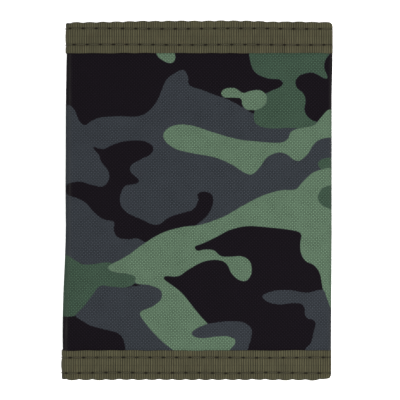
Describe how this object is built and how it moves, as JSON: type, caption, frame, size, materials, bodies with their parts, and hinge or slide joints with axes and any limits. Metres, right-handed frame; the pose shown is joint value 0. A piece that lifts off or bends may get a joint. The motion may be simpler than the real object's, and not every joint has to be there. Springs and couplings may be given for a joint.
{
  "type": "trifold wallet",
  "caption": "Closed trifold wallet in printed camouflage cloth with ribbed binding tape, card pockets, clear window, zip coin pocket and hook-and-loop fastening.",
  "frame": {"origin": "middle of the closed wallet's back face, at the floor it lies on", "axes": "+X towards the right fold, +Y towards the top edge, +Z out of the front flap"},
  "size_m": [0.0896, 0.12, 0.014],
  "materials": {
    "shell_cloth": "woven polyester, printed camouflage",
    "wall_cloth": "plain black nylon",
    "binding_tape": "ribbed olive binding tape",
    "thread": "twisted dark olive thread",
    "pocket_cloth": "plain black nylon",
    "pocket_tape": "ribbed olive binding tape",
    "film": "clear flexible film",
    "hook": "hook side of a hook-and-loop fastening",
    "loop": "loop side of a hook-and-loop fastening",
    "zip_tape": "woven zip tape",
    "zip_chain": "nylon coil",
    "zip_metal": "antique brass"
  },
  "bodies": {
    "back_panel": {"shell_back": "shell_cloth", "wall_back": "wall_cloth", "top_tape_back": "binding_tape", "bottom_tape_back": "binding_tape", "wall_tape_back": "binding_tape", "top_thread_back": "thread", "bottom_thread_back": "thread", "card_pocket_rear": "pocket_cloth", "card_pocket_middle": "pocket_cloth", "card_pocket_front": "pocket_cloth", "pocket_binding_rear": "pocket_tape", "pocket_binding_middle": "pocket_tape", "pocket_binding_front": "pocket_tape"},
    "left_spine": {"shell_left_spine": "shell_cloth", "wall_left_spine": "wall_cloth", "top_tape_left_spine": "binding_tape", "bottom_tape_left_spine": "binding_tape", "wall_tape_left_spine": "binding_tape", "top_thread_left_spine": "thread", "bottom_thread_left_spine": "thread"},
    "front_flap": {"shell_front": "shell_cloth", "wall_front": "wall_cloth", "top_tape_front": "binding_tape", "bottom_tape_front": "binding_tape", "wall_tape_front": "binding_tape", "top_thread_front": "thread", "bottom_thread_front": "thread", "side_edge_front": "shell_cloth", "window_frame": "pocket_cloth", "window_film": "film", "hook_strip": "hook"},
    "right_spine": {"shell_right_spine": "shell_cloth", "wall_right_spine": "wall_cloth", "top_tape_right_spine": "binding_tape", "bottom_tape_right_spine": "binding_tape", "wall_tape_right_spine": "binding_tape", "top_thread_right_spine": "thread", "bottom_thread_right_spine": "thread"},
    "inner_flap": {"shell_inner": "shell_cloth", "wall_inner": "wall_cloth", "top_tape_inner": "binding_tape", "bottom_tape_inner": "binding_tape", "wall_tape_inner": "binding_tape", "top_thread_inner": "thread", "bottom_thread_inner": "thread", "side_edge_inner": "shell_cloth", "loop_strip": "loop", "coin_panel_lower": "pocket_cloth", "coin_panel_upper": "pocket_cloth", "zip_tape_lower": "zip_tape", "zip_tape_upper": "zip_tape", "zip_chain_lower": "zip_chain", "zip_chain_upper": "zip_chain", "zip_stop_closed": "zip_metal", "zip_stop_open": "zip_metal"},
    "slider": {"zip_slider": "zip_metal"},
    "puller": {"zip_puller": "zip_metal"}
  },
  "joints": [
    {"name": "open_left_lower", "type": "hinge", "parent": "back_panel", "child": "left_spine", "pos_m": [-0.04436, 0, 0.00039], "axis": [0, -1, 0], "range_deg": [0, 90]},
    {"name": "open_left_upper", "type": "hinge", "parent": "left_spine", "child": "front_flap", "pos_m": [-0.04436, 0, 0.01361], "axis": [0, -1, 0], "range_deg": [0, 90]},
    {"name": "open_right_lower", "type": "hinge", "parent": "back_panel", "child": "right_spine", "pos_m": [0.04436, 0, 0.00039], "axis": [0, 1, 0], "range_deg": [0, 90]},
    {"name": "open_right_upper", "type": "hinge", "parent": "right_spine", "child": "inner_flap", "pos_m": [0.04436, 0, 0.00831], "axis": [0, 1, 0], "range_deg": [0, 90]},
    {"name": "zip_slide", "type": "slide", "parent": "inner_flap", "child": "slider", "axis": [-1, 0, 0], "range_m": [0, 0.029]},
    {"name": "pull_tab_swing", "type": "hinge", "parent": "slider", "child": "puller", "pos_m": [0.03335, 0.031, 0.00315], "axis": [0, -1, 0], "range_deg": [0, 170]}
  ],
  "couplings": [
    {"joint": "open_left_upper", "follows": "open_left_lower", "ratio": 1},
    {"joint": "open_right_lower", "follows": "open_left_lower", "ratio": 1},
    {"joint": "open_right_upper", "follows": "open_left_lower", "ratio": 1},
    {"joint": "pull_tab_swing", "follows": "open_left_lower", "ratio": 1.888}
  ]
}
